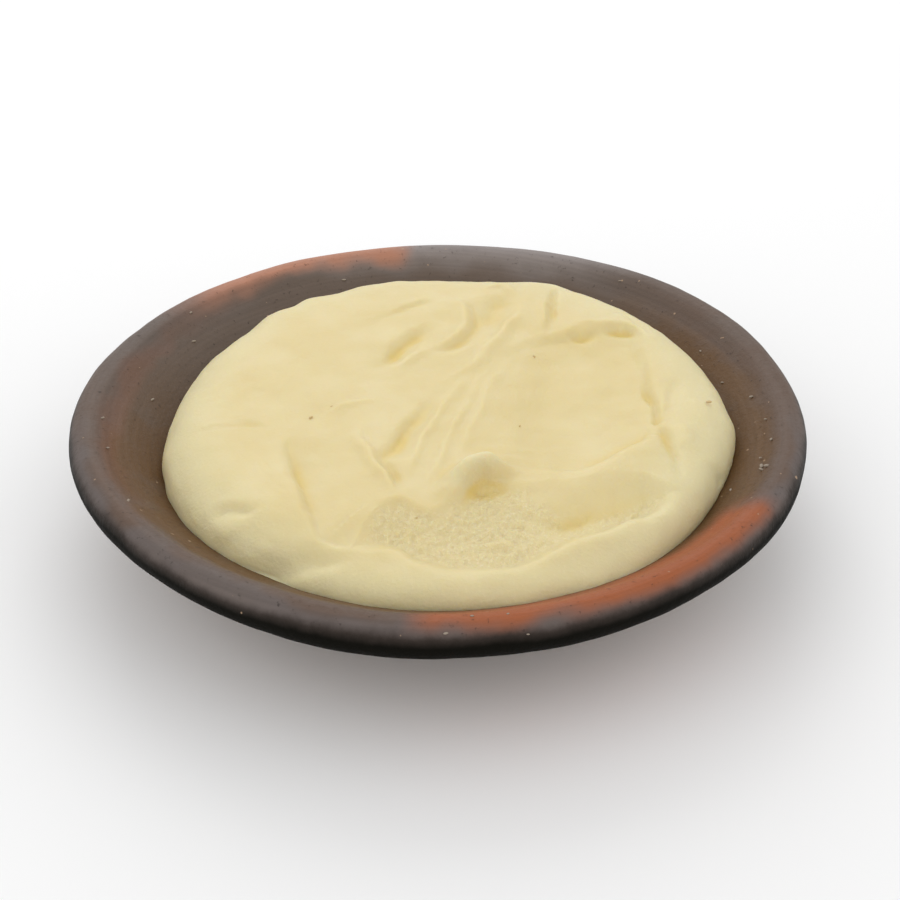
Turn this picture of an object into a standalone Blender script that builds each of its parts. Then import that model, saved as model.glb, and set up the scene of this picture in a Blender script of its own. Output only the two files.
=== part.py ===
"""A helping of mashed potato in its round clay dish, as two solids: the turned dish and the mash in it.

Z is up, and the dish stands on Z = 0 with the middle of its outline at the origin.
Lengths below are in millimetres, and are made metres where a mesh is built. Heights
called "level" are measured from the top of the rim, so that most of them are small.
"""

from math import atan2, cos, exp, hypot, pi, radians, sin, tan

import bmesh
import bpy
from mathutils import Vector

MM = 0.001

# The dish: a shallow cone of clay with a rolled rim, turned by hand and so not quite round.
RIM_RADIUS = 100.0
RIM_HEIGHT = 38.0
ROLL_RADIUS = 5.1
# Where the roll meets the outer wall: this far round its section, below the horizontal.
UNDER_ROLL = radians(110)
INNER_SLOPE = radians(36)
FOOT_RADIUS = 58.0
FOOT_ROUNDING = 1.5
FLOOR_THICKNESS = 8.0
# Height over which the floor curves up into the wall, and the radius of the flat floor inside that curve.
FLOOR_CURVE = 8.0
FLAT_FLOOR_RADIUS = 41.0
SEGMENTS = 84
WALL_STEPS = 9
ROLL_STEPS = 11
# How far the rim strays from a true circle: (waves round the rim, along cosine, along sine).
RIM_WAVES = ((1, 0.7, 0.9), (2, 0.0, 0.47), (3, -0.56, 0.62), (5, -0.14, -0.29))

# The mash: a mound with a rounded shoulder, which bulges over the line where it meets the clay.
MASH_MIDDLE = Vector((4.2, -2.1))
# (angle in degrees from +X, distance from the middle to the widest part of the mound)
MASH_OUTLINE = (
    (0, 75.5), (22, 76.0), (42, 74.0), (62, 74.0), (82, 70.5), (100, 70.5),
    (113, 72.0), (128, 70.0), (148, 70.5), (165, 73.5), (182, 76.5), (205, 78.5),
    (232, 78.5), (256, 80.5), (283, 80.0), (304, 79.0), (325, 75.5), (345, 76.0),
)
BULGE_LEVEL = -9.0
SHOULDER_WIDTH = 14.0
TUCK_DEPTH = 6.0
TUCK_WIDTH = 3.0
GAP_TO_CLAY = 0.4
TOP_RINGS, SHOULDER_RINGS, TUCK_RINGS, UNDER_RINGS = 16, 6, 3, 6

# The mound rises towards the back and falls at the front: height, and where along Y it starts and ends.
TOP_LEVEL = 1.5
BACK_RISE = (3.0, -30.0, 60.0)
FRONT_FALL = (-2.0, -58.0, -78.0)

# Strokes that the spoon left, each along a line: (points on the line, half width, height).
# They fade in over the first share of their length, and out over the last.
STROKE_FADE = 0.12
STROKES = (
    (((34, 32), (41, 37), (50, 37.5), (58, 31), (61, 20)), 3.0, 2.2),  # rim of the round scoop
    (((58, 8), (57.5, -14), (57, -26)), 2.2, -2.2),  # its right side, pressed in
    (((57, -30), (50, -34), (42, -42), (24, -47)), 3.2, 2.0),  # its near lip
    (((-11, -32), (-8, -16), (-3, -4)), 2.4, -2.0),  # long strokes that fan out to the back
    (((-15, 14), (-9, 22), (-5, 30)), 3.4, -2.4),
    (((6, 22), (11, 33), (17, 50)), 3.6, -2.2),
    (((-2, -44), (2, -20), (12, 6), (22, 40)), 3.4, 1.2),
    (((31, 34), (34, 54)), 1.8, -1.6),
    (((-41, -27), (-38, -40), (-32, -58), (-28, -66)), 2.2, -2.4),  # left edge of the flat scoop
    (((-18, -34), (-13, -46), (-7, -54)), 2.0, 1.6),  # the thin ridge between the two scoops
    (((-22, -62), (-6, -70), (12, -72), (34, -66), (52, -50)), 3.4, -3.0),  # fold above the near roll
)
# Wider hollows and humps: (middle, half length along X, half length along Y, height).
HOLLOWS = (
    ((34, -8), 23, 36, -3.4),  # the round scoop on the right
    ((-28, -46), 11, 20, -2.0),  # the flat scoop on the left
    ((10, -50), 6.5, 7.0, -4.0),  # under the curl
)
# The curl that stands up: its tip, half length along X, half length along Y, height.
CURL = ((12.5, -40.5), 5.5, 4.6, 6.5)


def smooth_step(low, high, value):
    t = min(max((value - low) / (high - low), 0.0), 1.0)
    return t * t * (3 - 2 * t)


def rim_stray(angle):
    """Outward shift of the rim at an angle."""
    return sum(c * cos(waves * angle) + s * sin(waves * angle) for waves, c, s in RIM_WAVES)


def inner_height(radius):
    """Height of the inside above the table: a straight wall that touches the roll, curved into the floor."""
    from_roll = radius - RIM_RADIUS + ROLL_RADIUS
    wall = RIM_HEIGHT - ROLL_RADIUS + from_roll * tan(INNER_SLOPE) + ROLL_RADIUS / cos(INNER_SLOPE)
    over_floor = wall - FLOOR_THICKNESS
    curved = min(max(over_floor + FLOOR_CURVE, 0.0), 2 * FLOOR_CURVE)
    return FLOOR_THICKNESS + curved ** 2 / (4 * FLOOR_CURVE) + max(over_floor - FLOOR_CURVE, 0.0)


def dish_section():
    """Half section of the dish, from the middle of its floor over the rim to the middle of its base."""
    roll_middle = RIM_RADIUS - ROLL_RADIUS
    wall_length = roll_middle - ROLL_RADIUS * sin(INNER_SLOPE) - FLAT_FLOOR_RADIUS
    section = [(0.0, FLOOR_THICKNESS), (FLAT_FLOOR_RADIUS / 2, FLOOR_THICKNESS)]
    for step in range(WALL_STEPS):
        radius = FLAT_FLOOR_RADIUS + wall_length * step / WALL_STEPS
        section.append((radius, inner_height(radius)))
    start = pi / 2 + INNER_SLOPE
    for step in range(ROLL_STEPS + 1):
        angle = start - (start + UNDER_ROLL) * step / ROLL_STEPS
        height = RIM_HEIGHT - ROLL_RADIUS + ROLL_RADIUS * sin(angle)
        section.append((roll_middle + ROLL_RADIUS * cos(angle), height))
    section += [(FOOT_RADIUS + FOOT_ROUNDING, FOOT_ROUNDING), (FOOT_RADIUS, 0.0)]
    section += [(FOOT_RADIUS / 2, 0.0), (0.0, 0.0)]
    return section


def outline_radius(angle):
    """Distance from the mash's middle to its widest part, eased between the listed angles."""
    degrees = (angle * 180 / pi) % 360
    points = [*MASH_OUTLINE, (MASH_OUTLINE[0][0] + 360, MASH_OUTLINE[0][1])]
    for (a, near), (b, far) in zip(points, points[1:]):
        if a <= degrees <= b:
            return near + (far - near) * smooth_step(a, b, degrees)
    return points[0][1]


def distance_to_line(x, y, points):
    """Distance from a place to a line of straight stretches, and how far along it that is, 0 to 1."""
    best = (1e9, 0.0)
    for index, (a, b) in enumerate(zip(points, points[1:])):
        ax, ay = a
        dx, dy = b[0] - ax, b[1] - ay
        t = min(max(((x - ax) * dx + (y - ay) * dy) / (dx * dx + dy * dy), 0.0), 1.0)
        best = min(best, (hypot(x - ax - t * dx, y - ay - t * dy), (index + t) / (len(points) - 1)))
    return best


def top_level(x, y):
    """Level of the mash's top at a place: the mound, its scoops and strokes, and the curl that stands up."""
    level = TOP_LEVEL
    for height, start, end in (BACK_RISE, FRONT_FALL):
        level += height * smooth_step(start, end, y)
    for (mx, my), half_x, half_y, height in HOLLOWS:
        level += height * exp(-(((x - mx) / half_x) ** 4) - ((y - my) / half_y) ** 4)
    for points, half_width, height in STROKES:
        distance, along = distance_to_line(x, y, points)
        fade = smooth_step(0, STROKE_FADE, along) * smooth_step(1, 1 - STROKE_FADE, along)
        level += height * fade * exp(-((distance / half_width) ** 2))
    (tip_x, tip_y), half_x, half_y, height = CURL
    return level + height * exp(-(((x - tip_x) / half_x) ** 2) - ((y - tip_y) / half_y) ** 2)


def mash_point(angle, ring):
    """Place of the mash's surface on a ring, counted from the top's middle to the underside's middle."""
    widest = outline_radius(angle)
    shoulder = 1 - SHOULDER_WIDTH / widest
    if ring <= TOP_RINGS:
        reach, turn = shoulder * ring / TOP_RINGS, pi / 2
    elif ring <= TOP_RINGS + SHOULDER_RINGS:
        turn = pi / 2 * (1 - (ring - TOP_RINGS) / SHOULDER_RINGS)
        reach = shoulder + (1 - shoulder) * cos(turn)
    else:
        return under_point(angle, widest, ring - TOP_RINGS - SHOULDER_RINGS)
    x = MASH_MIDDLE.x + widest * reach * cos(angle)
    y = MASH_MIDDLE.y + widest * reach * sin(angle)
    level = BULGE_LEVEL + (top_level(x, y) - BULGE_LEVEL) * sin(turn)
    return kept_off_clay(x, y, RIM_HEIGHT + level)


def under_point(angle, widest, ring):
    """Place of the tucked-in side, and then of the underside, which follows the clay just above it."""
    direction = Vector((cos(angle), sin(angle)))
    if ring < TUCK_RINGS:
        turn = pi / 2 * ring / TUCK_RINGS
        flat = MASH_MIDDLE + direction * (widest - TUCK_WIDTH * (1 - cos(turn)))
        height = RIM_HEIGHT + BULGE_LEVEL - TUCK_DEPTH * sin(turn)
    else:
        flat = MASH_MIDDLE + direction * (widest - TUCK_WIDTH) * (1 - (ring - TUCK_RINGS) / UNDER_RINGS)
        height = 0.0
    return kept_off_clay(flat.x, flat.y, height)


def kept_off_clay(x, y, height):
    """A point of the mash, lifted where it would otherwise reach into the clay."""
    stretch = 1 + rim_stray(atan2(y, x)) / RIM_RADIUS
    over_clay = inner_height(hypot(x, y) / stretch) + GAP_TO_CLAY / cos(INNER_SLOPE)
    return Vector((x, y, max(height, over_clay)))


def finish(name, shape, colour, roughness):
    """Makes the shape an object with its own material."""
    mesh = bpy.data.meshes.new(name)
    shape.to_mesh(mesh)
    shape.free()
    mesh.shade_smooth()
    mesh.set_sharp_from_angle(angle=radians(50))
    material = bpy.data.materials.new(name)
    material.use_nodes = True
    surface = material.node_tree.nodes["Principled BSDF"]
    surface.inputs["Base Color"].default_value = (*colour, 1)
    surface.inputs["Roughness"].default_value = roughness
    mesh.materials.append(material)
    bpy.context.scene.collection.objects.link(bpy.data.objects.new(name, mesh))


def make_dish():
    """Turns the section round Z, then lets the rim stray from a true circle."""
    shape = bmesh.new()
    points = [shape.verts.new((r * MM, 0, z * MM)) for r, z in dish_section()]
    edges = [shape.edges.new(pair) for pair in zip(points, points[1:])]
    bmesh.ops.spin(
        shape, geom=points + edges, cent=(0, 0, 0), axis=(0, 0, 1),
        angle=2 * pi, steps=SEGMENTS, use_merge=True,
    )
    bmesh.ops.remove_doubles(shape, verts=shape.verts, dist=1e-6)
    for point in shape.verts:
        radius = hypot(point.co.x, point.co.y)
        if radius > MM:
            stretch = 1 + rim_stray(atan2(point.co.y, point.co.x)) / RIM_RADIUS
            point.co.x *= stretch
            point.co.y *= stretch
    bmesh.ops.recalc_face_normals(shape, faces=shape.faces)
    finish("dish", shape, (0.075, 0.05, 0.04), 0.45)


def make_mash():
    """Bends a ball into the mound: its upper rings make the top, and its lower ones the underside."""
    rings = TOP_RINGS + SHOULDER_RINGS + TUCK_RINGS + UNDER_RINGS
    shape = bmesh.new()
    bmesh.ops.create_uvsphere(shape, u_segments=SEGMENTS, v_segments=rings, radius=1)
    for point in shape.verts:
        angle = atan2(point.co.y, point.co.x)
        ring = round(atan2(hypot(point.co.x, point.co.y), point.co.z) / pi * rings)
        point.co = mash_point(angle, ring) * MM
    finish("mashed_potato", shape, (0.83, 0.70, 0.42), 0.5)


for old in list(bpy.data.objects):
    bpy.data.objects.remove(old)
make_dish()
make_mash()
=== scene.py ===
from math import atan2, cos, hypot, pi, radians, sin, tan

import bmesh
import bpy
import numpy as np
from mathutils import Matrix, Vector, noise


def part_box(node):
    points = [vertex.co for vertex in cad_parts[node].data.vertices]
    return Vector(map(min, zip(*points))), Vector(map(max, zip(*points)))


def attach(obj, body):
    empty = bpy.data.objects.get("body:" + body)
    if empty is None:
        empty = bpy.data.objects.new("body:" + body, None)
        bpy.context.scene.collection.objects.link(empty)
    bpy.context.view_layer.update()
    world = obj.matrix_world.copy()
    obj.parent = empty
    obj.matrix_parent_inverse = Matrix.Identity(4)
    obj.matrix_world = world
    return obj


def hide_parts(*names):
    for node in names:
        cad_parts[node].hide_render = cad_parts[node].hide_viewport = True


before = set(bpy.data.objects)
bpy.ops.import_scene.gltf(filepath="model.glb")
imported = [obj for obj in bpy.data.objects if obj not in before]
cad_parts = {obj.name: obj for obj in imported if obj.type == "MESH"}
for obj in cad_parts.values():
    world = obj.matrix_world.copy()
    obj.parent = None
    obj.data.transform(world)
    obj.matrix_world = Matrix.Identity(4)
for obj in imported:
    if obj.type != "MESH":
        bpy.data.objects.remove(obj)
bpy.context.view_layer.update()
dishLow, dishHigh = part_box("dish")

# Lengths are in millimetres down to the point where a mesh gets its place.
# A "level" is a height above the top of the rim, so most of them are small.
mm = 0.001
rimHeight = dishHigh.z / mm
rimRadius = (dishHigh.x - dishLow.x) / 2 / mm


def ease(low, high, value):
    # 0 below low, 1 above high, and a smooth rise between them
    t = np.clip((value - low) / (high - low), 0, 1)
    return t * t * (3 - 2 * t)


def noiseAt(x, y, z, size, seed):
    # soft noise from about -1 to 1, with lumps of the given size
    points = np.stack((x / size + seed * 17.3, y / size - seed * 9.1, z / size + seed), axis=1)
    return np.array([noise.noise(p) for p in points.tolist()])


dishLooks = {
    "rollRadius": 5.1,
    "underRoll": 110,         # degrees below the horizontal where the roll meets the outer wall
    "innerSlope": 36,         # degrees
    "footRadius": 58.0,
    "floorThickness": 8.0,
    "floorCurve": 8.0,        # height over which the floor curves up into the wall
    "grooveFromEdge": 11.4, "grooveHalf": 2.4, "grooveDepth": 0.32,
    "stepsRound": 420,
    "rollSteps": 44,
    "turningLine": 2.1,       # distance between the potter's turning lines
    "turningDepth": 0.05,
    "unevenness": 0.35,
    # how far the rim strays from a circle: waves round the rim, along cosine, along sine
    "rimWaves": ((1, 0.7, 0.9), (2, 0.0, 0.47), (3, -0.56, 0.62), (5, -0.14, -0.29)),
}


def rimStray(angle):
    return sum(c * np.cos(k * angle) + s * np.sin(k * angle) for k, c, s in dishLooks["rimWaves"])


def innerHeight(radius):
    # height of the inside over the table: a straight wall that touches the roll, curved into the floor
    roll, slope, curve = dishLooks["rollRadius"], radians(dishLooks["innerSlope"]), dishLooks["floorCurve"]
    wall = rimHeight - roll + (radius - rimRadius + roll) * tan(slope) + roll / cos(slope)
    over = wall - dishLooks["floorThickness"]
    return (dishLooks["floorThickness"] + np.clip(over + curve, 0, 2 * curve) ** 2 / (4 * curve)
            + np.maximum(over - curve, 0))


def clayHeight(x, y):
    stretch = 1 + rimStray(np.arctan2(y, x)) / rimRadius
    return innerHeight(np.hypot(x, y) / stretch)


def dishSection():
    # half of the dish in section, from the middle of the floor over the rim to the middle of the foot
    looks = dishLooks
    roll, foot, slope = looks["rollRadius"], looks["footRadius"], radians(looks["innerSlope"])
    rollMiddle = rimRadius - roll
    wallTop = rollMiddle - roll * sin(slope)
    section = [(r, float(innerHeight(r))) for r in np.linspace(0, 48, 9)]
    for r in np.linspace(50, wallTop, 62, endpoint=False):
        groove = looks["grooveDepth"] * np.exp(
            -((r - rimRadius + looks["grooveFromEdge"]) / looks["grooveHalf"]) ** 2)
        section.append((r, float(innerHeight(r) - groove * ease(0, 2.5, wallTop - r))))
    start, end = pi / 2 + slope, -radians(looks["underRoll"])
    for step in range(looks["rollSteps"] + 1):
        angle = start + (end - start) * step / looks["rollSteps"]
        section.append((rollMiddle + roll * cos(angle), rimHeight - roll + roll * sin(angle)))
    under = section[-1]
    wallFoot = (foot + 1.8, 1.7)
    for share in np.linspace(0.06, 1, 14):
        bulge = 0.5 * sin(pi * share)
        section.append((under[0] + (wallFoot[0] - under[0]) * share + bulge,
                        under[1] + (wallFoot[1] - under[1]) * share - bulge))
    section += [(foot + 0.9, 0.6), (foot, 0.12), (foot - 1.2, 0.0), (foot - 8, 0.0), (30, 0.0), (0, 0.0)]
    return section


def makeDish():
    shape = bmesh.new()
    points = [shape.verts.new((r * mm, 0, z * mm)) for r, z in dishSection()]
    edges = [shape.edges.new(pair) for pair in zip(points, points[1:])]
    bmesh.ops.spin(shape, geom=points + edges, cent=(0, 0, 0), axis=(0, 0, 1),
                   angle=2 * pi, steps=dishLooks["stepsRound"], use_merge=True)
    bmesh.ops.remove_doubles(shape, verts=shape.verts, dist=1e-6)
    bmesh.ops.recalc_face_normals(shape, faces=shape.faces)
    shape.normal_update()
    place = np.array([v.co[:] for v in shape.verts]) / mm
    normal = np.array([v.normal[:] for v in shape.verts])
    x, y, z = place.T
    angle, radius = np.arctan2(y, x), np.hypot(x, y)
    onInside = (normal[:, 2] > 0.2) & (radius < rimRadius - 2 * dishLooks["rollRadius"])
    lines = np.sin(2 * pi * radius / dishLooks["turningLine"] + 2 * np.sin(angle * 2))
    patchy = ease(-0.3, 0.6, noiseAt(np.cos(angle) * 2, np.sin(angle) * 2, radius / 14, 1, 3))
    push = dishLooks["turningDepth"] * lines * patchy * onInside
    offTable = ease(0.5, 5, z)
    push += offTable * dishLooks["unevenness"] * noiseAt(x, y, z, 26, 5)
    push += offTable * 0.10 * noiseAt(x, y, z, 6, 6)
    stretch = 1 + rimStray(angle) / rimRadius
    place[:, :2] *= stretch[:, None]
    place += normal * push[:, None]
    for vertex, spot in zip(shape.verts, place.tolist()):
        vertex.co = Vector(spot) * mm
    return finishPiece("clayDish", shape, makeClay(), "clay", "dish")


mashLooks = {
    "middle": (4.2, -2.1),
    "gridAcross": 352,
    "gridDeep": 226,
    "shoulderWidth": 13.0,
    "shoulderShare": 0.80,    # how much of the grid lies inside the shoulder
    "bulgeLevel": -8.5,
    "bulgeLowerLeft": 2.8,
    "tuckRings": 7,
    "tuckDepth": 6.0,
    "tuckWidth": 2.6,
    "intoClay": 0.3,
    "underRings": 4,
    "underStart": 0.94, "underStep": 0.12,   # the underside's rings, as shares of the outline
    "creaseSteps": 6, "hollowSteps": 44,     # smoothing that leaves out creases, and that finds the hollows
    # uneven lumps all over: height, size, seed
    "lumps": ((0.45, 16, 1), (0.30, 8, 9), (0.14, 4, 2), (0.045, 1.8, 8)),
    "shoulderLessInFront": 3.5,
    "shoulderMoreLeft": 3.0,
    "topLevel": 1.6,
    "backRise": 3.3,
    "frontFall": 4.2,
    "cornerFall": 2.6,
    # (angle in degrees from +X, distance from the middle to the widest part)
    "outline": (
        (2, 76.2), (22, 76.3), (40, 76.0), (50, 76.2), (58, 77.3), (66, 77.6), (80, 73.6), (98, 74.2),
        (112, 75.4), (122, 74.4), (128, 76.4), (133, 75.6), (138, 77.6), (147, 75.8), (153, 76.6),
        (160, 77.8), (172, 77.6), (188, 79.2), (205, 80.2), (220, 80.9), (232, 80.7), (244, 80.6),
        (256, 80.8), (283, 80.2), (304, 79.5), (325, 75.9), (340, 75.2), (349, 76.0), (355, 76.8),
    ),
}

# Spoon marks along a line: points, half width on its left and on its right, height, where it is highest.
spoonMarks = {
    "basinLip": (((30, 22.8), (35, 30.3), (40.5, 34.4), (46, 35.6), (54, 35.4), (58, 32.6), (61, 26.3),
                  (62.5, 16)), 4.0, 1.5, 0.75, 0.5),
    "pitLeft": (((36, 29.8), (38.5, 30.0), (41.0, 29.2), (44.0, 31.0), (48, 32.4)), 1.5, 1.3, -1.2, 0.4),
    "pitRight": (((46.5, 32.4), (50.5, 32.4), (53.2, 31.8), (55.8, 31.6), (58, 29)), 1.6, 1.4, -1.3, 0.55),
    "rightCrease": (((57.8, 24), (57.2, 14), (57.8, 7), (57.4, 1), (58.6, -5), (58.4, -11), (58.4, -17.5)),
                     1.8, 1.2, -1.5, 0.86),
    "rightArm": (((66, 8), (63.2, -1.5), (61.6, -9), (58.8, -16)), 2.2, 1.6, -1.0, 0.8),
    "rightFoot": (((57.6, -15), (59.4, -21), (60.2, -27), (61.4, -34), (60.4, -42)), 1.4, 1.8, -1.4, 0.25),
    "rightBulge": (((63, -14), (64.5, -20), (65, -30)), 3.0, 3.0, 1.0, 0.4),
    "nearLip": (((59.0, -19.5), (52.6, -25.5), (46.6, -31), (40, -36.0), (30, -39.5)), 7.0, 1.9, 1.4, 0.35),
    "grooveA": (((-13.8, -37), (-13.4, -31), (-10.6, -24.5), (-8.8, -19.5), (-5.6, -13.5), (-2.6, -6.5),
                 (1.5, 1)), 2.0, 3.0, -1.6, 0.35),
    "grooveAFoot": (((-13.4, -32), (-11.6, -40), (-8.4, -48)), 1.6, 1.0, -0.9, 0.3),
    "grooveB": (((-19.5, 10), (-13.4, 18.0), (-10.1, 24.4), (-5.8, 30), (-1.5, 37)), 2.2, 3.2, -2.0, 0.55),
    "ridgeB": (((-14, 10), (-7, 17.5), (0.5, 26)), 2.0, 2.0, 0.8, 0.5),
    "lobe": (((-4, 18.5), (2.2, 25.0), (6.8, 32.0), (8.2, 39), (7.2, 45), (3, 48.5), (-3, 47.5)),
              2.6, 1.7, 1.3, 0.45),
    "lobeShade": (((-5, 21.4), (0, 21.4), (5, 23.6), (9.0, 28.2), (10.8, 36), (10.6, 45), (11.5, 54)),
                   2.0, 2.0, -1.0, 0.3),
    "backTrough": (((11.0, 29), (14.6, 38), (16.8, 46), (17.5, 53)), 4.0, 4.4, -1.9, 0.65),
    "backBump": (((12.5, 54.5), (16.6, 58.2), (20.6, 57), (22.6, 50.5)), 1.8, 1.8, 0.8, 0.5),
    "backRidge": (((-2.2, 0), (3.6, 6.8), (9.5, 14), (17.6, 28.3), (23.6, 43), (26.5, 50)),
                   1.7, 2.2, 1.1, 0.6),
    "backRidgeFar": (((29.8, 29), (31, 42), (31.6, 53)), 2.2, 1.2, 1.0, 0.6),
    "backCrease": (((32.0, 27), (33.8, 40), (34.2, 49), (35.6, 58)), 1.3, 1.1, -1.0, 0.8),
    "fanA": (((-8.5, -45), (-6, -30), (-1, -14), (6, 3), (13, 17)), 1.5, 1.5, 0.75, 0.35),
    "fanB": (((-3, -47), (0.5, -31), (5, -14), (11, 3), (17.5, 19)), 1.1, 1.5, 0.6, 0.3),
    "fanC": (((2, -44), (5.5, -30), (9, -15), (13.5, 0), (21, 20)), 1.5, 1.9, 0.6, 0.5),
    "behindCurlA": (((3, -32.5), (13, -30.5), (27, -30.8)), 1.4, 1.8, 0.3, 0.5),
    "behindCurlB": (((9, -27), (20, -25.8), (33, -27)), 1.4, 1.8, 0.2, 0.4),
    "scoopCrease": (((-38.6, -18), (-38.6, -26), (-36.2, -34.2), (-33.8, -42), (-31.8, -48), (-30.8, -53),
                     (-29.0, -59.3), (-26.5, -63.0), (-20, -64.6)), 8.5, 1.4, -2.2, 0.5),
    "scoopBrow": (((-43.6, -22), (-41, -34), (-37, -46), (-33.5, -58)), 2.0, 4.2, 0.6, 0.5),
    "scoopFoot": (((-29, -62), (-24, -63.6), (-18, -64.5)), 4.0, 1.0, -0.8, 0.5),
    "thinRidge": (((-21.8, -15), (-19.8, -23.8), (-17.0, -31), (-14.6, -37.9), (-11.9, -43.3),
                   (-8.4, -48.5)), 1.2, 2.2, 1.3, 0.55),
    "creaseFar": (((-23, 36), (-17, 38), (-11.8, 42.5), (-8.3, 46.2), (0, 48)), 1.2, 1.8, -0.8, 0.75),
    "sideDent": (((-57.5, -49.4), (-50.6, -51.6), (-47, -53.0), (-42.6, -54.0)), 1.5, 1.5, -1.6, 0.45),
    "sideDentLip": (((-58, -54.5), (-51, -56), (-44, -58)), 2.4, 1.6, 0.7, 0.5),
    "nearFold": (((-51, -64.0), (-44, -67.6), (-36, -69.6), (-28, -69.8), (-18, -68.6)), 3.8, 2.0, -2.0, 0.5),
    "lineA": (((-67, -20), (-60, -17.6), (-51, -16.1), (-42, -16.8)), 0.9, 1.2, -0.32, 0.6),
    "lineB": (((-56, -12), (-51.5, -14.9), (-46, -16.6)), 0.9, 1.4, -0.3, 0.5),
    "lineC": (((-31, -12), (-24, -6.4), (-15, -4.0)), 1.2, 1.4, 0.4, 0.6),
    "lineD": (((48, 39.5), (52.5, 41.4), (56, 38.8), (59.5, 33), (62, 27)), 0.8, 0.8, -0.45, 0.5),
    "frontShade": (((23, -57.5), (32, -55.6), (42, -52)), 2.0, 2.6, -0.8, 0.5),
    "rollEdge": (((6, -73.6), (18, -73), (26, -68.6), (36, -62.6), (47, -57.4), (56, -51), (62, -43)),
                  1.5, 3.0, 1.0, 0.6),
    "rollEdgeLeft": (((-24, -66.5), (-12, -67.5), (-3, -71.8), (7, -74)), 1.6, 3.0, 0.7, 0.5),
    "frontStep": (((10, -66.0), (15, -63.6), (20, -64.4)), 1.0, 1.2, 0.8, 0.5),
    "rightNotch": (((69, -29), (73, -31.5), (78, -33)), 2.2, 2.0, -0.6, 0.6),
}


def smoothLine(points, steps=6):
    # a curve through the points, as short straight stretches
    spots = np.array([points[0], *points, points[-1]], float)
    line = [spots[1]]
    for a, b, c, d in zip(spots, spots[1:], spots[2:], spots[3:]):
        for t in np.arange(1, steps + 1) / steps:
            line.append(0.5 * (2 * b + (c - a) * t + (2 * a - 5 * b + 4 * c - d) * t ** 2
                               + (3 * b - a - 3 * c + d) * t ** 3))
    return np.array(line)


def alongLine(x, y, line):
    # distance from the line, positive on its left, and the share of its length that lies before
    best, side, along = np.full(x.shape, 1e9), np.zeros(x.shape), np.zeros(x.shape)
    lengths = np.hypot(*(line[1:] - line[:-1]).T)
    before = 0.0
    for (ax, ay), (bx, by), length in zip(line, line[1:], lengths):
        dx, dy = (bx - ax) / length, (by - ay) / length
        t = np.clip((x - ax) * dx + (y - ay) * dy, 0, length)
        gap = np.hypot(x - ax - t * dx, y - ay - t * dy)
        closer = gap < best
        best = np.where(closer, gap, best)
        side = np.where(closer, np.sign((y - ay) * dx - (x - ax) * dy), side)
        along = np.where(closer, (before + t) / lengths.sum(), along)
        before += length
    return best * np.where(side == 0, 1, side), along


def stroke(x, y, points, leftWidth, rightWidth, height, peakAt, rightPower=2):
    line = smoothLine(points)
    reach = 2.6 * max(leftWidth, rightWidth)
    near = ((x > line[:, 0].min() - reach) & (x < line[:, 0].max() + reach)
            & (y > line[:, 1].min() - reach) & (y < line[:, 1].max() + reach))
    change = np.zeros(x.shape)
    gap, along = alongLine(x[near], y[near], line)
    swell = np.where(along < peakAt, along / peakAt, (1 - along) / (1 - peakAt))
    nearness = np.where(gap > 0, np.abs(gap / leftWidth) ** 2, np.abs(gap / rightWidth) ** rightPower)
    change[near] = height * np.exp(-nearness) * ease(0, 0.8, swell)
    return change


def insideShare(x, y, corners, edge):
    # 1 well inside a closed outline, 0 outside it, with an edge of the given softness
    line = smoothLine([*corners, corners[0]])
    inside = np.zeros(x.shape, bool)
    for (ax, ay), (bx, by) in zip(line, line[1:]):
        crosses = (ay > y) != (by > y)
        inside ^= crosses & (x < ax + (y - ay) * (bx - ax) / np.where(by == ay, 1e-9, by - ay))
    gap = np.abs(alongLine(x, y, line)[0])
    return ease(-edge, edge, np.where(inside, gap, -gap))


# Scooped areas: corners, how soft the edge is, depth.
scoops = {
    "basin": (((57.8, 25), (57.2, 10), (57.6, 0), (58.2, -8), (57.6, -17), (52, -25), (45, -31.5), (38, -36),
               (26, -36),
               (14, -34), (8, -20), (8, -6), (12, 9), (20, 21), (31, 28.5), (41, 29.8), (47, 32.8),
               (52, 33.2), (56.5, 32)), 2.2, 1.3),
    "basinWide": (((56, 20), (55, -12), (44, -27), (27, -28), (20, -14), (24, 6), (33, 22), (46, 28)),
                   9.0, 1.8),
}
tornFace = {
    "upper": ((-20, -64.5), (-18, -58), (-14, -51.5), (-9.5, -49), (-5.5, -51), (-0.8, -53), (2.6, -49.6),
              (5.5, -44.6),
              (10, -40.6), (14.5, -39.6), (19, -41.2), (26, -42), (36, -41), (46, -39), (54, -39),
              (60, -43.5)),
    "lower": ((-20.5, -65.2), (-17, -63.5), (-10.6, -63.8), (-2, -68.8), (7.6, -71.0), (18, -70.2),
              (24, -66.0),
              (32, -61), (42.4, -56), (51.6, -51.0), (57, -47), (60.5, -44)),
    "depth": 5.0,
    "foldDepth": 0.6,
}
curl = {
    "ridge": ((-1.2, -52.0), (2.2, -47.2), (5.6, -42.6), (9.0, -38.9), (12.4, -37.6), (16.0, -39.0),
              (19.0, -42.0)),
    "outerWidth": 3.2, "innerWidth": 3.9, "innerPower": 3, "height": 7.0, "highestAt": 0.64,
    "lean": 0.32,            # how far the crest hangs over, as a share of its height
    "pocket": (8.4, -45.0), "pocketHalf": (5.4, 2.4), "pocketDepth": 2.1,
}


def tornShare(x, y):
    # 0 at the upper edge of the torn face, 1 at the fold below it, and the distances from both
    fromUpper = alongLine(x, y, smoothLine(tornFace["upper"]))[0]
    fromLower = alongLine(x, y, smoothLine(tornFace["lower"]))[0]
    down, left = np.maximum(-fromUpper, 0), np.maximum(fromLower, 0)
    return down / np.maximum(down + left, 1e-6), fromUpper, fromLower


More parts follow.
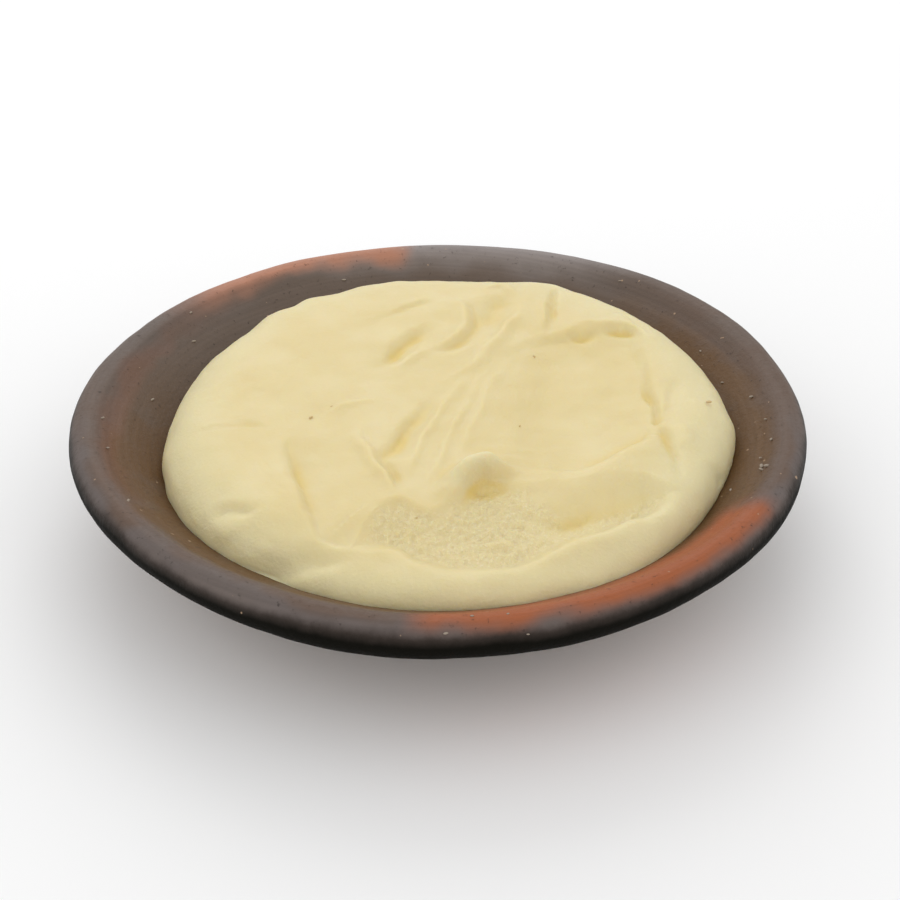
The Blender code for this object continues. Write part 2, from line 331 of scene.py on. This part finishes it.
def baseLevel(x, y):
    looks = mashLooks
    level = looks["topLevel"] + looks["backRise"] * ease(-35, 62, y)
    level -= looks["frontFall"] * ease(-50, -73, y) * ease(-62, -18, x)
    return level - looks["cornerFall"] * ease(-48, -72, y) * ease(-18, -52, x)


def markHeight(x, y):
    # everything the spoon left in the smooth mound, with no line quite true
    x, y = (x + 0.9 * noiseAt(x, y, 0 * x, 9, 11) + 0.35 * noiseAt(x, y, 0 * x, 3, 12),
            y + 0.9 * noiseAt(x, y, 0 * x, 9, 13) + 0.35 * noiseAt(x, y, 0 * x, 3, 14))
    change = np.zeros(x.shape)
    for corners, edge, depth in scoops.values():
        change -= depth * insideShare(x, y, corners, edge) * ease(8, 32, x)
    for mark in spoonMarks.values():
        change += stroke(x, y, *mark)
    share, fromUpper, fromLower = tornShare(x, y)
    inFace = fromUpper < 0
    steep = ease(30, 16, x)
    drop = (steep * (0.26 * ease(0, 0.2, share) + 0.74 * ease(0.06, 0.94, share))
            + (1 - steep) * ease(-0.1, 0.9, share))
    atFold = ease(-22, -8, x) * (0.35 + 0.65 * ease(34, 20, x)) * ease(60, 48, x)
    faceDepth = tornFace["depth"] - mashLooks["frontFall"] * ease(-50, -73, y)
    drop *= np.where(fromLower < 0, np.exp(-(fromLower / 3.6) ** 2), 1)
    change -= np.where(inFace, drop * faceDepth, 0) * ease(-24, -6, x) * ease(62, 50, x)
    change -= tornFace["foldDepth"] * atFold * np.exp(-(fromLower / np.where(fromLower > 0, 3.0, 1.5)) ** 2)
    (px, py), (hx, hy) = curl["pocket"], curl["pocketHalf"]
    return change - curl["pocketDepth"] * np.exp(-((x - px) / hx) ** 2 - ((y - py) / hy) ** 2)


def curlHeight(x, y):
    return stroke(x, y, curl["ridge"], curl["outerWidth"], curl["innerWidth"], curl["height"],
                  curl["highestAt"], curl["innerPower"])


def outlineRadius(angle):
    # a smooth closed curve through the listed distances
    table = mashLooks["outline"]
    spots = np.array([(a - 360, r) for a, r in table[-2:]] + list(table)
                     + [(a + 360, r) for a, r in table[:2]])
    degrees = np.degrees(angle) % 360
    at = np.clip(np.searchsorted(spots[:, 0], degrees, side="right") - 1, 1, len(spots) - 3)
    (a0, r0), (a1, r1), (a2, r2), (a3, r3) = (spots[at + k].T for k in (-1, 0, 1, 2))
    t = (degrees - a1) / (a2 - a1)
    out = (r2 - r0) / (a2 - a0) * (a2 - a1)
    back = (r3 - r1) / (a3 - a1) * (a2 - a1)
    return ((2 * t ** 3 - 3 * t ** 2 + 1) * r1 + (t ** 3 - 2 * t ** 2 + t) * out
            + (3 * t ** 2 - 2 * t ** 3) * r2 + (t ** 3 - t ** 2) * back)


def makeMash():
    looks = mashLooks
    shape = bmesh.new()
    bmesh.ops.create_grid(shape, x_segments=looks["gridAcross"], y_segments=looks["gridDeep"], size=1)
    flat = np.array([v.co[:2] for v in shape.verts])
    u, v = flat.T
    p, q = u * np.sqrt(1 - v ** 2 / 2), v * np.sqrt(1 - u ** 2 / 2)   # square to round
    out, angle = np.hypot(p, q), np.arctan2(q, p)
    widest = outlineRadius(angle)
    onLeft = ease(0.35, 0.95, np.cos(angle - pi * 1.08))
    width = looks["shoulderWidth"] - looks["shoulderLessInFront"] * ease(0.5, 1, -np.sin(angle + 0.15))
    width += looks["shoulderMoreLeft"] * onLeft
    bulge = looks["bulgeLevel"] - looks["bulgeLowerLeft"] * onLeft
    shoulder = 1 - width / widest
    turn = pi / 2 * np.clip((1 - out) / (1 - looks["shoulderShare"]), 0, 1)
    reach = np.where(out < looks["shoulderShare"], shoulder * out / looks["shoulderShare"],
                     shoulder + (1 - shoulder) * np.cos(turn))
    x = looks["middle"][0] + widest * reach * np.cos(angle)
    y = looks["middle"][1] + widest * reach * np.sin(angle)
    base = rimHeight + bulge + (baseLevel(x, y) - bulge) * np.sin(turn)
    moveTo(shape, x, y, base)
    shape.normal_update()
    normal = np.array([vertex.normal[:] for vertex in shape.verts])
    normal *= np.sign(normal[:, 2:].sum())
    push = markHeight(x, y) * ease(0, 0.25, turn)
    share, fromUpper, fromLower = tornShare(x, y)
    ragged = 2.2 * noiseAt(x, y, base, 4, 7)
    reachUp = 0.2 + 0.55 * ease(20, 34, x)
    torn = (ease(reachUp - 0.2, reachUp + 0.1, share + 0.06 * ragged)
            * ease(-1.5, 1.2, fromLower + 0.5 * ragged) * (fromUpper < 0)
            * ease(-22, -13, x) * ease(61, 52, x) * (1 - 0.4 * ease(18, 34, x)))
    for lump, size, seed in looks["lumps"]:
        push += lump * noiseAt(x, y, base, size, seed)
    sideward = ease(-24, -44, x) * ease(40, 10, y)
    push += 0.07 * sideward * noiseAt(out * 60, angle * 7, base * 0.2, 1.0, 3)
    push += torn * (0.30 * noiseAt(x, y, base, 2.4, 4) + 0.55 * noiseAt(x, y, base, 1.2, 5))
    lift = curlHeight(x, y)
    push += lift
    x, y, height = x + normal[:, 0] * push, y + normal[:, 1] * push, base + normal[:, 2] * push
    y -= curl["lean"] * lift
    height = np.maximum(height, clayHeight(x, y) - looks["intoClay"])
    moveTo(shape, x, y, height)
    # painted shade: the hollows of the surface get a deeper, more saturated yellow, as the light scattering
    # in them would give
    hollowShade = hollowness(height) * (1 - 0.9 * np.exp(-(fromLower / 3.5) ** 2)) * (1 - ease(0.72, 0.93, out))
    # no painted hollow shade on the smooth back of the curl
    hollowShade *= 1 - np.exp(-((x - 11) / 12) ** 2 - ((y + 34) / 5) ** 2)
    closeUnderside(shape)
    piece = finishPiece("mashedPotato", shape, makeMashFinish(), "mash", "mashed_potato")
    paint(piece, "hollowShade", hollowShade)
    paint(piece, "torn", torn)
    # edge: the shoulders, wider on the right, and the crest of the curl, painted paler and greener as light,
    # with a rougher bump
    paint(piece, "edge", np.maximum(ease(0.72 - 0.1 * ease(0, 60, x), 0.93, out), ease(1.5, 5.5, lift)))
    return piece


def moveTo(shape, x, y, z):
    for vertex, spot in zip(shape.verts, (np.stack((x, y, z), axis=1) * mm).tolist()):
        vertex.co = spot


def hollowness(height):
    # how far each spot of the grid lies below its wider surroundings, with the thinnest creases left out
    field = height.reshape(mashLooks["gridDeep"] + 1, mashLooks["gridAcross"] + 1)
    narrow = blurred(field, mashLooks["creaseSteps"])
    return (blurred(narrow, mashLooks["hollowSteps"]) - narrow).ravel()


def blurred(field, times):
    for _ in range(times):
        padded = np.pad(field, 1, mode="edge")
        field = (padded[:-2, 1:-1] + padded[2:, 1:-1] + padded[1:-1, :-2] + padded[1:-1, 2:]) / 4
    return field


def paint(piece, name, values):
    layer = piece.data.attributes.new(name, "FLOAT", "POINT")
    full = np.zeros(len(piece.data.vertices), np.float32)
    full[: len(values)] = values
    layer.data.foreach_set("value", full)


def closeUnderside(shape):
    # the bulge turns in to the clay, and the underside follows the clay to the middle
    looks = mashLooks
    middle = Vector(looks["middle"])
    rim = [e for e in shape.edges if e.is_boundary]
    starts = {v: v.co.copy() for e in rim for v in e.verts}
    origin = {v: v for v in starts}
    for ring in range(1, looks["tuckRings"] + looks["underRings"] + 1):
        grown = bmesh.ops.extrude_edge_only(shape, edges=rim)["geom"]
        fresh = [g for g in grown if isinstance(g, bmesh.types.BMVert)]
        rim = [g for g in grown if isinstance(g, bmesh.types.BMEdge)]
        loops = {}
        for edge in {e for v in fresh for e in v.link_edges}:
            a, b = edge.verts
            if a in origin and b not in origin:
                loops[b] = origin[a]
            elif b in origin and a not in origin:
                loops[a] = origin[b]
        for vertex in fresh:
            first = starts[loops[vertex]]
            away = Vector((first.x / mm, first.y / mm)) - middle
            if ring <= looks["tuckRings"]:
                turn = pi / 2 * ring / looks["tuckRings"]
                flat = middle + away * (1 - looks["tuckWidth"] * (1 - cos(turn)) / away.length)
                height = first.z / mm - looks["tuckDepth"] * sin(turn)
            else:
                share = looks["underStart"] - looks["underStep"] * (ring - looks["tuckRings"])
                flat = middle + away * share
                height = 0
            lowest = float(clayHeight(np.array(flat.x), np.array(flat.y))) - looks["intoClay"]
            vertex.co = Vector((flat.x, flat.y, max(height, lowest))) * mm
        origin = loops
    bmesh.ops.contextual_create(shape, geom=rim)
    bmesh.ops.recalc_face_normals(shape, faces=shape.faces)


mashFlecks = {
    "colour": (0.57, 0.41, 0.19),
    # brown flecks in the mash: x, y, half length, turn in degrees
    "spots": ((-33.8, -12.5, 0.8, 40), (-28.5, -7.4, 0.7, 50), (21.8, -14.4, 0.5, 80),
              (27.2, 20.3, 0.75, -60),
              (73.2, -5.1, 1.1, 10), (-5.3, -55.2, 0.55, 20)),
}
claySpecks = {
    "colour": (0.30, 0.245, 0.19),
    # dried pale specks on the inside of the clay: x, y, half length, turn in degrees
    "spots": ((-29.9, 81.0, 0.9, 10), (-74.5, 52.6, 0.8, 70), (-72.8, 43.3, 0.9, 30), (-80.8, 13.3, 0.9, 60),
              (-87.0, -20.5, 0.6, 0), (-77.2, -47.0, 0.9, 80), (-90.6, -7.0, 0.7, 40), (87.4, 8.1, 0.9, 20),
              (88.9, -5.7, 0.6, 0), (88.4, -17.1, 0.8, 50), (84.6, -23.7, 0.6, 30), (84.0, -28.6, 1.2, 80),
              (85.0, -30.0, 1.1, 10), (83.6, -30.4, 0.9, 140), (75.7, -33.2, 0.8, 60), (81.5, 20.9, 0.7, 0),
              (77.4, 37.7, 0.7, 90), (56.8, 74.1, 0.6, 0)),
    "lipSpots": ((7.8, -93.9, 0.6, 0), (15.9, -93.2, 0.5, 30), (1.9, -98.4, 0.8, 20), (20.3, -97.2, 0.5, 0)),
}


def addFleck(shape, x, y, z, half, turnedBy, lift):
    # a flat, rounded flake that lies on the surface
    spin = radians(turnedBy)
    for vertex in bmesh.ops.create_icosphere(shape, subdivisions=2, radius=half * 0.8)["verts"]:
        along, across, up = vertex.co.x, vertex.co.y * 0.55, vertex.co.z * 0.35
        vertex.co = Vector((x + along * cos(spin) - across * sin(spin),
                            y + along * sin(spin) + across * cos(spin),
                            z + up + lift)) * mm


def makeFlecks():
    shape = bmesh.new()
    for x, y, half, turnedBy in mashFlecks["spots"]:
        spot = np.array([float(x)]), np.array([float(y)])
        z = float((baseLevel(*spot) + markHeight(*spot))[0]) + rimHeight
        addFleck(shape, x, y, z, half, turnedBy, -0.08)
    finishPiece("brownFlecks", shape, plainFinish("fleckBrown", mashFlecks["colour"], 0.6), "mash")
    shape = bmesh.new()
    for x, y, half, turnedBy in claySpecks["spots"]:
        z = float(clayHeight(np.array(x), np.array(y)))
        addFleck(shape, x, y, z, half, turnedBy, 0.1)
    for x, y, half, turnedBy in claySpecks["lipSpots"]:
        roll = dishLooks["rollRadius"]
        out = hypot(x, y) - rimRadius + roll - float(rimStray(atan2(y, x)))
        z = rimHeight - roll + max(roll ** 2 - out ** 2, 0) ** 0.5
        addFleck(shape, x, y, z, half, turnedBy, 0.05)
    finishPiece("paleSpecks", shape, plainFinish("speckPale", claySpecks["colour"], 0.7), "clay")


def finishPiece(name, shape, material, slot, *stoodFor):
    mesh = bpy.data.meshes.new(name)
    shape.to_mesh(mesh)
    shape.free()
    mesh.shade_smooth()
    mesh.materials.append(material)
    piece = bpy.data.objects.new(name, mesh)
    bpy.context.scene.collection.objects.link(piece)
    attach(piece, "root")
    for node in stoodFor:
        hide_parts(node)
    print(name, len(mesh.polygons), "faces")
    return piece


def newFinish(name):
    material = bpy.data.materials.new(name)
    material.use_nodes = True
    return material, material.node_tree, material.node_tree.nodes["Principled BSDF"]


def add(tree, kind, inputs=(), **settings):
    # a node with its settings and inputs: a number or colour sets a socket, and a socket is linked to it
    node = tree.nodes.new(kind)
    for key, value in settings.items():
        setattr(node, key, value)
    for key, value in dict(inputs).items():
        if isinstance(value, bpy.types.NodeSocket):
            tree.links.new(value, node.inputs[key])
        else:
            node.inputs[key].default_value = value
    return node


def plainFinish(name, colour, roughness):
    material, tree, surface = newFinish(name)
    surface.inputs["Base Color"].default_value = (*colour, 1)
    surface.inputs["Roughness"].default_value = roughness
    return material


def ramp(tree, value, low, high):
    return add(tree, "ShaderNodeMapRange", {"Value": value, "From Min": low, "From Max": high},
               interpolation_type="SMOOTHSTEP").outputs["Result"]


def maths(tree, operation, a, b=0.0):
    return add(tree, "ShaderNodeMath", {0: a, 1: b}, operation=operation).outputs[0]


def mixColours(tree, share, a, b):
    node = tree.nodes.new("ShaderNodeMix")
    node.data_type = "RGBA"
    for socket, value in ((node.inputs[0], share), (node.inputs[6], a), (node.inputs[7], b)):
        if isinstance(value, bpy.types.NodeSocket):
            tree.links.new(value, socket)
        else:
            socket.default_value = value if not isinstance(value, tuple) else (*value, 1)
    return node.outputs[2]


def noiseTexture(tree, place, size, detail=3, roughness=0.55, stretch=(1, 1, 1)):
    moved = add(tree, "ShaderNodeMapping", {"Vector": place, "Scale": stretch}).outputs["Vector"]
    return add(tree, "ShaderNodeTexNoise", {"Vector": moved, "Scale": 1 / (size * mm), "Detail": detail,
                                            "Roughness": roughness}).outputs["Fac"]


mashFinish = {
    "top": (0.715, 0.588, 0.295),
    # colour of the painted shade in the hollows
    "hollowShadeColour": (0.75, 0.565, 0.18),
    "pale": (0.745, 0.63, 0.345),
    # the paler, greener colour painted on the shoulders and the curl's crest as light
    "edge": (0.72, 0.637, 0.37),
    "torn": (0.735, 0.62, 0.335),
    "grainGlint": (0.82, 0.73, 0.46),
    "shine": 0.38,
    "subsurface": 0.5,
    "scatter": (1.0, 0.75, 0.35),
    "scatterScale": 0.0035,
    "roughness": 0.46,
}


def makeMashFinish():
    material, tree, surface = newFinish("mash")
    place = add(tree, "ShaderNodeTexCoord").outputs["Object"]
    hollowShade = add(tree, "ShaderNodeAttribute", attribute_name="hollowShade").outputs["Fac"]
    torn = add(tree, "ShaderNodeAttribute", attribute_name="torn").outputs["Fac"]
    edge = add(tree, "ShaderNodeAttribute", attribute_name="edge").outputs["Fac"]
    mottle = noiseTexture(tree, place, 22, 2)
    colour = mixColours(tree, ramp(tree, mottle, 0.35, 0.75), mashFinish["top"], mashFinish["pale"])
    # painted light: a paler, greener colour on the shoulders and the curl's crest
    colour = mixColours(tree, edge, colour, mashFinish["edge"])
    grainy = noiseTexture(tree, place, 0.8, 2, 0.6)
    colour = mixColours(tree, torn, colour, mashFinish["torn"])
    # painted highlights: pale glints on the grain of the torn face, and a few on the edges
    grainGlints = maths(tree, "MULTIPLY", ramp(tree, grainy, 0.50, 0.72),
                 maths(tree, "ADD", maths(tree, "MULTIPLY", torn, 0.7), maths(tree, "MULTIPLY", edge, 0.25)))
    colour = mixColours(tree, grainGlints, colour, mashFinish["grainGlint"])
    # painted shade in the hollows, with less of it on the torn face
    shaded = maths(tree, "MULTIPLY", ramp(tree, hollowShade, 0.05, 0.95),
                   maths(tree, "SUBTRACT", 1.0, maths(tree, "MULTIPLY", torn, 0.8)))
    colour = mixColours(tree, shaded, colour, mashFinish["hollowShadeColour"])
    tree.links.new(colour, surface.inputs["Base Color"])
    surface.inputs["Subsurface Weight"].default_value = mashFinish["subsurface"]
    surface.inputs["Subsurface Radius"].default_value = mashFinish["scatter"]
    surface.inputs["Subsurface Scale"].default_value = mashFinish["scatterScale"]
    surface.inputs["Roughness"].default_value = mashFinish["roughness"]
    surface.inputs["IOR"].default_value = 1.4
    surface.inputs["Specular IOR Level"].default_value = mashFinish["shine"]
    fine = noiseTexture(tree, place, 0.9, 3, 0.6)
    coarse = maths(tree, "ADD", maths(tree, "MULTIPLY", torn, 0.45), maths(tree, "MULTIPLY", edge, 0.12))
    height = maths(tree, "ADD", maths(tree, "MULTIPLY", fine, 0.11), maths(tree, "MULTIPLY", grainy, coarse))
    bump = add(tree, "ShaderNodeBump", {"Height": height, "Strength": 1.0, "Distance": mm})
    tree.links.new(bump.outputs["Normal"], surface.inputs["Normal"])
    return material


clayFinish = {
    "brown": (0.116, 0.056, 0.016),
    "lip": (0.115, 0.072, 0.050),
    "sheen": (0.122, 0.097, 0.088),
    "greyToneAndBackSheen": (0.120, 0.092, 0.076),
    "pale": (0.24, 0.205, 0.19),
    "orange": (0.320, 0.084, 0.022),
    # orange of a fire mark with a painted sheen over it
    "sheenedOrange": (0.42, 0.185, 0.110),
    # near black of soot, also standing in as painted shade on the underside
    "sootAndShade": (0.005, 0.0045, 0.003),
    "pit": (0.022, 0.013, 0.009),
    "grit": (0.40, 0.27, 0.17),
    # dark brown band below the crown, part painted shade
    "edge": (0.03, 0.018, 0.012),
    "roughness": 0.52,
    "shine": 0.34,
}
# Marks of the fire: angles in degrees where they start and end, how soft each end is in radians, and
# distances from the middle of the roll where they begin and end.
fireMarks = {
    # farLeft: the fire mark's orange lightened by a painted sheen
    "farLeft": {"from": 97, "to": 141, "softness": (0.06, 0.18), "inside": (-7.0, -0.8),
                "outside": (9.0, 7.0), "strength": 1.0, "tone": "sheenedOrange"},
    "nearRight": {"from": -93, "to": -31, "softness": (0.06, 0.07), "inside": (-14.0, -6.0),
                  "outside": (5.2, -0.6), "strength": 1.0, "tone": "orange"},
    "left": {"from": 150, "to": 206, "softness": (0.3, 0.35), "inside": (-10.0, -6.5),
             "outside": (-1.5, -5.5), "strength": 0.14, "tone": "orange"},
}


def makeClay():
    material, tree, surface = newFinish("smokedClay")
    place = add(tree, "ShaderNodeTexCoord").outputs["Object"]
    split = add(tree, "ShaderNodeSeparateXYZ", {"Vector": place})
    x, y, z = split.outputs["X"], split.outputs["Y"], split.outputs["Z"]
    radius = maths(tree, "SQRT",
                   maths(tree, "ADD", maths(tree, "MULTIPLY", x, x), maths(tree, "MULTIPLY", y, y)))
    angle = maths(tree, "ARCTAN2", y, x)
    wander = noiseTexture(tree, place, 16, 2, 0.5)
    offset = maths(tree, "MULTIPLY", maths(tree, "SUBTRACT", wander, 0.5), 0.009)
    uneven = maths(tree, "ADD",
                   maths(tree, "SUBTRACT", radius, (rimRadius - dishLooks["rollRadius"]) * mm), offset)
    onLip = ramp(tree, uneven, -0.009, -0.003)
    colour = mixColours(tree, onLip, clayFinish["brown"], clayFinish["lip"])
    # painted sheen: a greyer colour on the outer half of the lip at the front
    sheen = maths(tree, "MULTIPLY", ramp(tree, uneven, -0.002, 0.0018), ramp(tree, y, 0.010, -0.035))
    colour = mixColours(tree, sheen, colour, clayFinish["sheen"])
    # painted reflection: the back of the wall and lip turn greyer, as a glancing sheen
    backWallSheen = ramp(tree, maths(tree, "SUBTRACT", y, maths(tree, "MULTIPLY", x, 0.35)), 0.005, 0.075)
    colour = mixColours(tree, maths(tree, "MULTIPLY", backWallSheen, 0.8), colour, clayFinish["greyToneAndBackSheen"])
    # painted reflection: a pale grey sheen on the back of the lip
    backLipSheen = maths(tree, "MULTIPLY", ramp(tree, y, 0.072, 0.090), ramp(tree, uneven, -0.010, -0.001))
    colour = mixColours(tree, backLipSheen, colour, clayFinish["pale"])
    # the same grey also in random patches, a tone of the clay
    colour = mixColours(tree, maths(tree, "MULTIPLY", ramp(tree, wander, 0.5, 0.75), 0.4), colour,
                        clayFinish["greyToneAndBackSheen"])
    rings = add(tree, "ShaderNodeCombineXYZ",
                {"X": maths(tree, "MULTIPLY", radius, 900.0), "Y": angle}).outputs["Vector"]
    streak = add(tree, "ShaderNodeTexNoise", {"Vector": rings, "Scale": 1.0, "Detail": 2.0}).outputs["Fac"]
    for mark in fireMarks.values():
        shifted = maths(tree, "ADD", angle, maths(tree, "MULTIPLY", offset, 12.0))
        start, end = radians(mark["from"]), radians(mark["to"])
        startSoft, endSoft = mark["softness"]
        if end > pi:      # a mark across the left side, where the angle jumps
            shifted = maths(tree, "ADD", shifted,
                            maths(tree, "MULTIPLY", maths(tree, "LESS_THAN", shifted, 0.0), 2 * pi))
        there = maths(tree, "MULTIPLY", ramp(tree, shifted, start - startSoft, start + startSoft),
                      ramp(tree, shifted, end + endSoft, end - endSoft))
        (inLow, inHigh), (outHigh, outLow) = mark["inside"], mark["outside"]
        there = maths(tree, "MULTIPLY", there, ramp(tree, uneven, inLow * mm, inHigh * mm))
        there = maths(tree, "MULTIPLY", there, ramp(tree, uneven, outHigh * mm, outLow * mm))
        colour = mixColours(tree, maths(tree, "MULTIPLY", there, mark["strength"]), colour,
                            clayFinish[mark["tone"]])
    shade = add(tree, "ShaderNodeMapRange", {"Value": streak, "From Min": 0.3, "From Max": 0.7,
                                             "To Min": 0.92, "To Max": 1.08})
    colour = add(tree, "ShaderNodeVectorMath", {0: colour, "Scale": shade.outputs["Result"]},
                 operation="SCALE").outputs["Vector"]
    grain = noiseTexture(tree, place, 1.6, 4, 0.7)
    colour = mixColours(tree, maths(tree, "MULTIPLY", ramp(tree, grain, 0.60, 0.72), 0.65), colour,
                        clayFinish["pit"])
    # below the crown of the roll, on the outside: a dark brown band, then near black, part soot of the firing
    # and part painted shade on the underside
    lowered = maths(tree, "ADD", z, maths(tree, "MULTIPLY", offset, 0.25))
    ragged = maths(tree, "ADD", lowered,
                   maths(tree, "MULTIPLY",
                         maths(tree, "SUBTRACT", noiseTexture(tree, place, 3, 3, 0.65), 0.5), 0.0010))
    outside = ramp(tree, radius, (rimRadius - 6) * mm, (rimRadius - 3) * mm)
    darkBandAndShade = maths(tree, "MULTIPLY", outside,
                 ramp(tree, ragged, (rimHeight - 0.6) * mm, (rimHeight - 3.0) * mm))
    colour = mixColours(tree, darkBandAndShade, colour, clayFinish["edge"])
    sootAndShade = maths(tree, "MULTIPLY", outside,
                 ramp(tree, ragged, (rimHeight - 1.6) * mm, (rimHeight - 4.8) * mm))
    colour = mixColours(tree, sootAndShade, colour, clayFinish["sootAndShade"])
    gritty = noiseTexture(tree, place, 2.2, 1, 0.5)
    colour = mixColours(tree, maths(tree, "MULTIPLY", ramp(tree, gritty, 0.765, 0.80), 0.8), colour,
                        clayFinish["grit"])
    tree.links.new(colour, surface.inputs["Base Color"])
    shine = add(tree, "ShaderNodeMapRange", {"Value": sootAndShade, "To Min": clayFinish["shine"], "To Max": 0.03})
    tree.links.new(shine.outputs["Result"], surface.inputs["Specular IOR Level"])
    rough = add(tree, "ShaderNodeMapRange", {"Value": grain, "To Min": clayFinish["roughness"] - 0.1,
                                             "To Max": clayFinish["roughness"] + 0.2})
    tree.links.new(rough.outputs["Result"], surface.inputs["Roughness"])
    height = maths(tree, "ADD", maths(tree, "MULTIPLY", grain, 0.22), maths(tree, "MULTIPLY", streak, 0.05))
    bump = add(tree, "ShaderNodeBump", {"Height": height, "Strength": 1.0, "Distance": mm})
    tree.links.new(bump.outputs["Normal"], surface.inputs["Normal"])
    return material


studio = {
    "floor": (0.92, 0.92, 0.92),
    "world": 0.81,
    "lamps": {          # place, size, power
        "overhead": ((-0.10, 0.85, 0.70), 0.8, 3.0),
        "frontLeft": ((-0.70, -0.60, 0.60), 1.0, 2.1),
        "frontRight": ((0.80, -0.30, 0.60), 1.0, 1.2),
    },
    "lens": 65.7, "shift": (0.0106, -0.0583),
    "distance": 0.450, "elevation": 31.13,
    "aim": (0.0007, 0.0009),
}


def makeStudio():
    scene = bpy.context.scene
    scene.view_settings.view_transform = "Standard"
    sheet = bmesh.new()
    bmesh.ops.create_grid(sheet, x_segments=1, y_segments=1, size=3)
    mesh = bpy.data.meshes.new("floor")
    sheet.to_mesh(mesh)
    sheet.free()
    floor = bpy.data.objects.new("floor", mesh)
    mesh.materials.append(plainFinish("floorPaint", studio["floor"], 0.9))
    scene.collection.objects.link(floor)
    world = bpy.data.worlds.new("studioWorld")
    world.use_nodes = True
    world.node_tree.nodes["Background"].inputs["Color"].default_value = (1, 1, 1, 1)
    world.node_tree.nodes["Background"].inputs["Strength"].default_value = studio["world"]
    scene.world = world
    for name, (place, size, power) in studio["lamps"].items():
        light = bpy.data.lights.new(name, "AREA")
        light.size = size
        light.energy = power
        lamp = bpy.data.objects.new(name, light)
        lamp.location = place
        lamp.rotation_euler = (-Vector(place)).to_track_quat("-Z", "Y").to_euler()
        scene.collection.objects.link(lamp)
    camera = bpy.data.cameras.new("camera")
    camera.lens = studio["lens"]
    camera.shift_x, camera.shift_y = studio["shift"]
    eye = bpy.data.objects.new("camera", camera)
    tilt = radians(studio["elevation"])
    aimX, aimY = studio["aim"]
    eye.location = (aimX, aimY - studio["distance"] * cos(tilt),
                    rimHeight * mm + studio["distance"] * sin(tilt))
    eye.rotation_euler = (pi / 2 - tilt, 0, 0)
    scene.collection.objects.link(eye)
    scene.camera = eye
    print("studio", len(studio["lamps"]), "lamps, floor and camera")


makeStudio()
makeDish()
makeMash()
makeFlecks()
